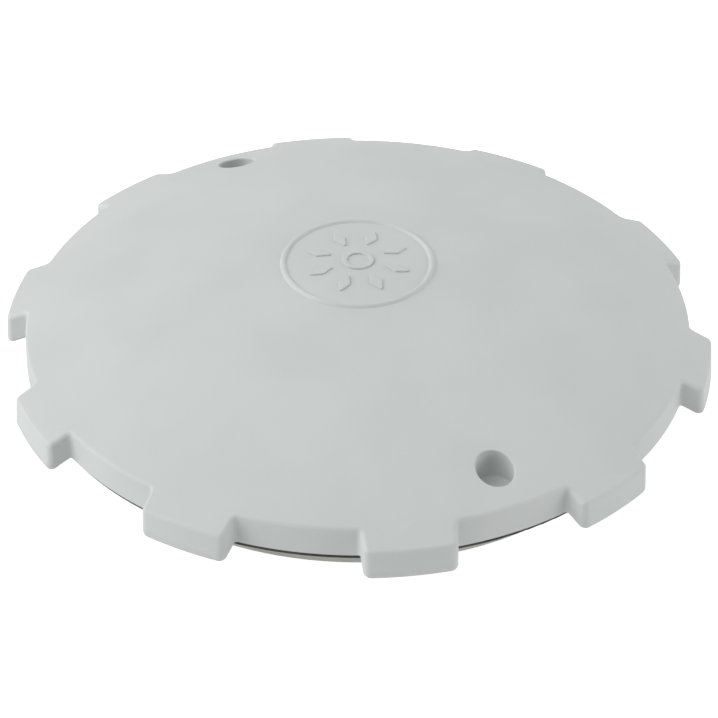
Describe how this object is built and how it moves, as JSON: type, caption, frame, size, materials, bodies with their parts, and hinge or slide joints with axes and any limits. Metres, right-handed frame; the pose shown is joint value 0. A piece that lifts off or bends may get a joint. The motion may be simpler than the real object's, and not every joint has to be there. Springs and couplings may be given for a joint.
{
  "type": "screw-in access cover",
  "caption": "Domed plastic screw-in access cover with a lugged rim, two blind spanner pockets, a flat rim seal and a threaded spigot.",
  "frame": {"origin": "centre of the spigot's foot, the ring face that the cover stands on when it is off its vessel", "axes": "+Z along the cover's axis from the spigot to the crown, +X through the middle of one lug, +Y through one spanner pocket"},
  "size_m": [0.3216, 0.3148, 0.0667],
  "materials": {
    "cover_plastic": "smooth moulded light grey, semi-matt",
    "spigot_plastic": "smooth moulded warm light grey, semi-matt",
    "seal_rubber": "matt black",
    "screw_steel": "stainless, satin"
  },
  "bodies": {
    "root": {"cover_shell": "cover_plastic", "threaded_spigot": "spigot_plastic", "rim_seal": "seal_rubber", "spigot_screws": "screw_steel"}
  },
  "joints": []
}
